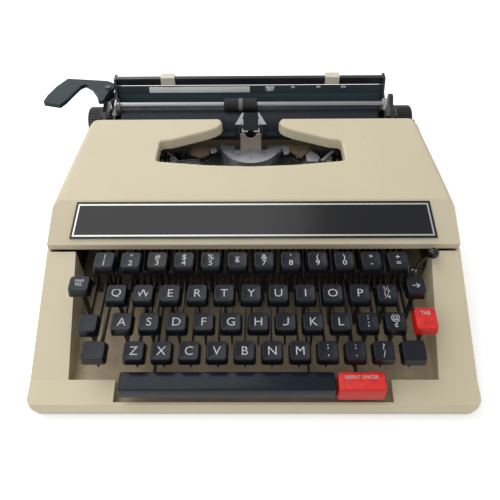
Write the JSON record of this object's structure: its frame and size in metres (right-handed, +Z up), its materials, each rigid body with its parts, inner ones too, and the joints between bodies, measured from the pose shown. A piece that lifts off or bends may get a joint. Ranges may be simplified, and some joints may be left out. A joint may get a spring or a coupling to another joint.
{
  "type": "electric typewriter",
  "caption": "Portable typewriter with a cream two-part case, sprung keys on levers, a sliding carriage with a turning platen, paper bail and return lever, and a lift-off cover.",
  "frame": {"origin": "on the table, at the centre of the four foot screws", "axes": "+X to the typist's right, +Y away from the typist towards the carriage, +Z up"},
  "size_m": [0.3336, 0.284, 0.1115],
  "materials": {
    "case_cream": "moulded plastic with a fine grain, satin",
    "cover_cream": "moulded plastic with a fine grain, satin",
    "cream_plastic": "smooth satin plastic",
    "black_panel": "glossy black with a silver edge line",
    "key_black": "glossy black plastic tops on thin steel levers",
    "key_red": "glossy red plastic tops on thin steel levers",
    "black_plastic": "glossy black plastic",
    "black_rubber": "matt black rubber",
    "platen_rubber": "smooth matt dark rubber on a steel shaft",
    "frame_steel": "zinc plated pressed steel",
    "bright_steel": "plated steel, satin bright",
    "chrome": "bright chrome",
    "brass": "turned brass",
    "inked_ribbon": "inked black cloth",
    "carriage_black": "black enamel on pressed steel",
    "table_grey": "dark teal grey enamel on sheet steel",
    "lever_black": "glossy black enamel"
  },
  "bodies": {
    "base": {"lower_case": "case_cream", "rubber_feet": "black_rubber", "main_frame": "frame_steel", "key_comb": "frame_steel", "type_segment": "bright_steel", "type_bars": "bright_steel", "type_guide": "bright_steel", "bell": "chrome"},
    "cover": {"top_cover": "cover_cream", "name_panel": "black_panel"},
    "carriage": {"carriage_frame": "carriage_black", "paper_table": "table_grey"},
    "platen_roller": {"platen": "platen_rubber", "platen_knobs": "black_plastic"},
    "ribbon_vibrator": {"ribbon_vibrator": "inked_ribbon"},
    "ribbon_spool_left": {"ribbon_spool_left": "inked_ribbon"},
    "ribbon_spool_right": {"ribbon_spool_right": "inked_ribbon"},
    "colour_selector": {"colour_selector": "cream_plastic"},
    "escapement_wheel": {"escapement_wheel": "brass"},
    "mainspring_drum": {"mainspring_drum": "frame_steel"},
    "feed_rollers": {"feed_rollers": "black_rubber"},
    "margin_stop_left": {"margin_stop_left": "cream_plastic"},
    "margin_stop_right": {"margin_stop_right": "cream_plastic"},
    "paper_bail": {"paper_bail": "bright_steel"},
    "bail_roller": {"bail_roller": "black_rubber"},
    "return_lever": {"return_lever": "lever_black"},
    "number_and_sign_keys": {"number_and_sign_keys": "key_black"},
    "margin_release_key": {"margin_release_key": "key_black"},
    "shift_keys": {"shift_keys": "key_black"},
    "shift_lock_key": {"shift_lock_key": "key_black"},
    "backspace_key": {"backspace_key": "key_black"},
    "tab_key": {"tab_key": "key_red"},
    "space_bar": {"space_bar": "key_black"},
    "repeat_key": {"repeat_key": "key_red"},
    "key_a": {"key_a": "key_black"},
    "key_b": {"key_b": "key_black"},
    "key_c": {"key_c": "key_black"},
    "key_d": {"key_d": "key_black"},
    "key_e": {"key_e": "key_black"},
    "key_f": {"key_f": "key_black"},
    "key_g": {"key_g": "key_black"},
    "key_h": {"key_h": "key_black"},
    "key_i": {"key_i": "key_black"},
    "key_j": {"key_j": "key_black"},
    "key_k": {"key_k": "key_black"},
    "key_l": {"key_l": "key_black"},
    "key_m": {"key_m": "key_black"},
    "key_n": {"key_n": "key_black"},
    "key_o": {"key_o": "key_black"},
    "key_p": {"key_p": "key_black"},
    "key_q": {"key_q": "key_black"},
    "key_r": {"key_r": "key_black"},
    "key_s": {"key_s": "key_black"},
    "key_t": {"key_t": "key_black"},
    "key_u": {"key_u": "key_black"},
    "key_v": {"key_v": "key_black"},
    "key_w": {"key_w": "key_black"},
    "key_x": {"key_x": "key_black"},
    "key_y": {"key_y": "key_black"},
    "key_z": {"key_z": "key_black"}
  },
  "joints": [
    {"name": "key_a_press", "type": "hinge", "parent": "base", "child": "key_a", "pos_m": [0, 0.096, 0.038], "axis": [1, 0, 0], "range_deg": [0, 3.6], "stiffness_Nm_per_rad": 0.3, "springref_deg": -8.59},
    {"name": "key_b_press", "type": "hinge", "parent": "base", "child": "key_b", "pos_m": [0, 0.096, 0.038], "axis": [1, 0, 0], "range_deg": [0, 3.3], "stiffness_Nm_per_rad": 0.3, "springref_deg": -8.59},
    {"name": "key_c_press", "type": "hinge", "parent": "base", "child": "key_c", "pos_m": [0, 0.096, 0.038], "axis": [1, 0, 0], "range_deg": [0, 3.3], "stiffness_Nm_per_rad": 0.3, "springref_deg": -8.59},
    {"name": "key_d_press", "type": "hinge", "parent": "base", "child": "key_d", "pos_m": [0, 0.096, 0.038], "axis": [1, 0, 0], "range_deg": [0, 3.6], "stiffness_Nm_per_rad": 0.3, "springref_deg": -8.59},
    {"name": "key_e_press", "type": "hinge", "parent": "base", "child": "key_e", "pos_m": [0, 0.096, 0.038], "axis": [1, 0, 0], "range_deg": [0, 4], "stiffness_Nm_per_rad": 0.3, "springref_deg": -8.59},
    {"name": "key_f_press", "type": "hinge", "parent": "base", "child": "key_f", "pos_m": [0, 0.096, 0.038], "axis": [1, 0, 0], "range_deg": [0, 3.6], "stiffness_Nm_per_rad": 0.3, "springref_deg": -8.59},
    {"name": "key_g_press", "type": "hinge", "parent": "base", "child": "key_g", "pos_m": [0, 0.096, 0.038], "axis": [1, 0, 0], "range_deg": [0, 3.6], "stiffness_Nm_per_rad": 0.3, "springref_deg": -8.59},
    {"name": "key_h_press", "type": "hinge", "parent": "base", "child": "key_h", "pos_m": [0, 0.096, 0.038], "axis": [1, 0, 0], "range_deg": [0, 3.6], "stiffness_Nm_per_rad": 0.3, "springref_deg": -8.59},
    {"name": "key_i_press", "type": "hinge", "parent": "base", "child": "key_i", "pos_m": [0, 0.096, 0.038], "axis": [1, 0, 0], "range_deg": [0, 4], "stiffness_Nm_per_rad": 0.3, "springref_deg": -8.59},
    {"name": "key_j_press", "type": "hinge", "parent": "base", "child": "key_j", "pos_m": [0, 0.096, 0.038], "axis": [1, 0, 0], "range_deg": [0, 3.6], "stiffness_Nm_per_rad": 0.3, "springref_deg": -8.59},
    {"name": "key_k_press", "type": "hinge", "parent": "base", "child": "key_k", "pos_m": [0, 0.096, 0.038], "axis": [1, 0, 0], "range_deg": [0, 3.6], "stiffness_Nm_per_rad": 0.3, "springref_deg": -8.59},
    {"name": "key_l_press", "type": "hinge", "parent": "base", "child": "key_l", "pos_m": [0, 0.096, 0.038], "axis": [1, 0, 0], "range_deg": [0, 3.6], "stiffness_Nm_per_rad": 0.3, "springref_deg": -8.59},
    {"name": "key_m_press", "type": "hinge", "parent": "base", "child": "key_m", "pos_m": [0, 0.096, 0.038], "axis": [1, 0, 0], "range_deg": [0, 3.3], "stiffness_Nm_per_rad": 0.3, "springref_deg": -8.59},
    {"name": "key_n_press", "type": "hinge", "parent": "base", "child": "key_n", "pos_m": [0, 0.096, 0.038], "axis": [1, 0, 0], "range_deg": [0, 3.3], "stiffness_Nm_per_rad": 0.3, "springref_deg": -8.59},
    {"name": "key_o_press", "type": "hinge", "parent": "base", "child": "key_o", "pos_m": [0, 0.096, 0.038], "axis": [1, 0, 0], "range_deg": [0, 4], "stiffness_Nm_per_rad": 0.3, "springref_deg": -8.59},
    {"name": "key_p_press", "type": "hinge", "parent": "base", "child": "key_p", "pos_m": [0, 0.096, 0.038], "axis": [1, 0, 0], "range_deg": [0, 4], "stiffness_Nm_per_rad": 0.3, "springref_deg": -8.59},
    {"name": "key_q_press", "type": "hinge", "parent": "base", "child": "key_q", "pos_m": [0, 0.096, 0.038], "axis": [1, 0, 0], "range_deg": [0, 4], "stiffness_Nm_per_rad": 0.3, "springref_deg": -8.59},
    {"name": "key_r_press", "type": "hinge", "parent": "base", "child": "key_r", "pos_m": [0, 0.096, 0.038], "axis": [1, 0, 0], "range_deg": [0, 4], "stiffness_Nm_per_rad": 0.3, "springref_deg": -8.59},
    {"name": "key_s_press", "type": "hinge", "parent": "base", "child": "key_s", "pos_m": [0, 0.096, 0.038], "axis": [1, 0, 0], "range_deg": [0, 3.6], "stiffness_Nm_per_rad": 0.3, "springref_deg": -8.59},
    {"name": "key_t_press", "type": "hinge", "parent": "base", "child": "key_t", "pos_m": [0, 0.096, 0.038], "axis": [1, 0, 0], "range_deg": [0, 4], "stiffness_Nm_per_rad": 0.3, "springref_deg": -8.59},
    {"name": "key_u_press", "type": "hinge", "parent": "base", "child": "key_u", "pos_m": [0, 0.096, 0.038], "axis": [1, 0, 0], "range_deg": [0, 4], "stiffness_Nm_per_rad": 0.3, "springref_deg": -8.59},
    {"name": "key_v_press", "type": "hinge", "parent": "base", "child": "key_v", "pos_m": [0, 0.096, 0.038], "axis": [1, 0, 0], "range_deg": [0, 3.3], "stiffness_Nm_per_rad": 0.3, "springref_deg": -8.59},
    {"name": "key_w_press", "type": "hinge", "parent": "base", "child": "key_w", "pos_m": [0, 0.096, 0.038], "axis": [1, 0, 0], "range_deg": [0, 4], "stiffness_Nm_per_rad": 0.3, "springref_deg": -8.59},
    {"name": "key_x_press", "type": "hinge", "parent": "base", "child": "key_x", "pos_m": [0, 0.096, 0.038], "axis": [1, 0, 0], "range_deg": [0, 3.3], "stiffness_Nm_per_rad": 0.3, "springref_deg": -8.59},
    {"name": "key_y_press", "type": "hinge", "parent": "base", "child": "key_y", "pos_m": [0, 0.096, 0.038], "axis": [1, 0, 0], "range_deg": [0, 4], "stiffness_Nm_per_rad": 0.3, "springref_deg": -8.59},
    {"name": "key_z_press", "type": "hinge", "parent": "base", "child": "key_z", "pos_m": [0, 0.096, 0.038], "axis": [1, 0, 0], "range_deg": [0, 3.3], "stiffness_Nm_per_rad": 0.3, "springref_deg": -8.59},
    {"name": "number_and_sign_keys_press", "type": "hinge", "parent": "base", "child": "number_and_sign_keys", "pos_m": [0, 0.096, 0.038], "axis": [1, 0, 0], "range_deg": [0, 3.3], "stiffness_Nm_per_rad": 5.4, "springref_deg": -8.59},
    {"name": "margin_release_key_press", "type": "hinge", "parent": "base", "child": "margin_release_key", "pos_m": [0, 0.096, 0.038], "axis": [1, 0, 0], "range_deg": [0, 4], "stiffness_Nm_per_rad": 0.3, "springref_deg": -8.59},
    {"name": "shift_keys_press", "type": "hinge", "parent": "base", "child": "shift_keys", "pos_m": [0, 0.096, 0.038], "axis": [1, 0, 0], "range_deg": [0, 2.4], "stiffness_Nm_per_rad": 1.2, "springref_deg": -8.59},
    {"name": "shift_lock_key_press", "type": "hinge", "parent": "base", "child": "shift_lock_key", "pos_m": [0, 0.096, 0.038], "axis": [1, 0, 0], "range_deg": [0, 3], "stiffness_Nm_per_rad": 0.3, "springref_deg": -8.59},
    {"name": "backspace_key_press", "type": "hinge", "parent": "base", "child": "backspace_key", "pos_m": [0, 0.096, 0.038], "axis": [1, 0, 0], "range_deg": [0, 4], "stiffness_Nm_per_rad": 0.3, "springref_deg": -8.59},
    {"name": "tab_key_press", "type": "hinge", "parent": "base", "child": "tab_key", "pos_m": [0, 0.096, 0.038], "axis": [1, 0, 0], "range_deg": [0, 3.6], "stiffness_Nm_per_rad": 0.4, "springref_deg": -8.59},
    {"name": "space_bar_press", "type": "hinge", "parent": "base", "child": "space_bar", "pos_m": [0, 0.096, 0.038], "axis": [1, 0, 0], "range_deg": [0, 1.6], "stiffness_Nm_per_rad": 1.5, "springref_deg": -8.59},
    {"name": "repeat_key_press", "type": "hinge", "parent": "base", "child": "repeat_key", "pos_m": [0, 0.096, 0.038], "axis": [1, 0, 0], "range_deg": [0, 1.25], "stiffness_Nm_per_rad": 0.8, "springref_deg": -8.59},
    {"name": "cover_lift", "type": "slide", "parent": "base", "child": "cover", "axis": [0, 0, 1], "range_m": [0, 0.06]},
    {"name": "ribbon_lift", "type": "slide", "parent": "base", "child": "ribbon_vibrator", "axis": [0, 0.5, 0.866], "range_m": [-0.006, 0]},
    {"name": "ribbon_spool_left_turn", "type": "hinge", "parent": "base", "child": "ribbon_spool_left", "pos_m": [-0.108, 0.036, 0.068], "axis": [0, 0, 1], "continuous": true},
    {"name": "ribbon_spool_right_turn", "type": "hinge", "parent": "base", "child": "ribbon_spool_right", "pos_m": [0.108, 0.036, 0.068], "axis": [0, 0, 1], "continuous": true},
    {"name": "colour_selector_swing", "type": "hinge", "parent": "base", "child": "colour_selector", "pos_m": [0.1285, -0.03, 0.024], "axis": [1, 0, 0], "range_deg": [-4, 8]},
    {"name": "carriage_slide", "type": "slide", "parent": "base", "child": "carriage", "axis": [1, 0, 0], "range_m": [-0.1, 0.1]},
    {"name": "platen_turn", "type": "hinge", "parent": "carriage", "child": "platen_roller", "pos_m": [-0.003, 0.093, 0.08], "axis": [1, 0, 0], "continuous": true},
    {"name": "feed_rollers_turn", "type": "hinge", "parent": "carriage", "child": "feed_rollers", "pos_m": [-0.003, 0.10358, 0.06168], "axis": [1, 0, 0], "continuous": true},
    {"name": "margin_stop_left_slide", "type": "slide", "parent": "carriage", "child": "margin_stop_left", "axis": [1, 0, 0], "range_m": [-0.036, 0.06]},
    {"name": "margin_stop_right_slide", "type": "slide", "parent": "carriage", "child": "margin_stop_right", "axis": [1, 0, 0], "range_m": [-0.06, 0.036]},
    {"name": "paper_bail_lift", "type": "hinge", "parent": "carriage", "child": "paper_bail", "pos_m": [-0.003, 0.104, 0.084], "axis": [1, 0, 0], "range_deg": [-45, 0]},
    {"name": "bail_roller_turn", "type": "hinge", "parent": "paper_bail", "child": "bail_roller", "pos_m": [-0.0102, 0.08805, 0.10061], "axis": [1, 0, 0], "continuous": true},
    {"name": "return_lever_swing", "type": "hinge", "parent": "carriage", "child": "return_lever", "pos_m": [-0.1245, 0.108, 0.10275], "axis": [0, 0, 1], "range_deg": [0, 25], "stiffness_Nm_per_rad": 0.4, "springref_deg": -5.73},
    {"name": "escapement_wheel_turn", "type": "hinge", "parent": "base", "child": "escapement_wheel", "pos_m": [0, 0.128, 0.0538], "axis": [0, 1, 0], "range_deg": [-960, 960]},
    {"name": "mainspring_drum_turn", "type": "hinge", "parent": "base", "child": "mainspring_drum", "pos_m": [-0.108, 0.128, 0.032], "axis": [0, 1, 0], "range_deg": [-412, 412]}
  ],
  "couplings": [
    {"joint": "ribbon_spool_right_turn", "follows": "ribbon_spool_left_turn", "ratio": 1},
    {"joint": "feed_rollers_turn", "follows": "platen_turn", "ratio": -3.2},
    {"joint": "escapement_wheel_turn", "follows": "carriage_slide", "rad_per_m": 166.67},
    {"joint": "mainspring_drum_turn", "follows": "carriage_slide", "rad_per_m": 71.429}
  ]
}
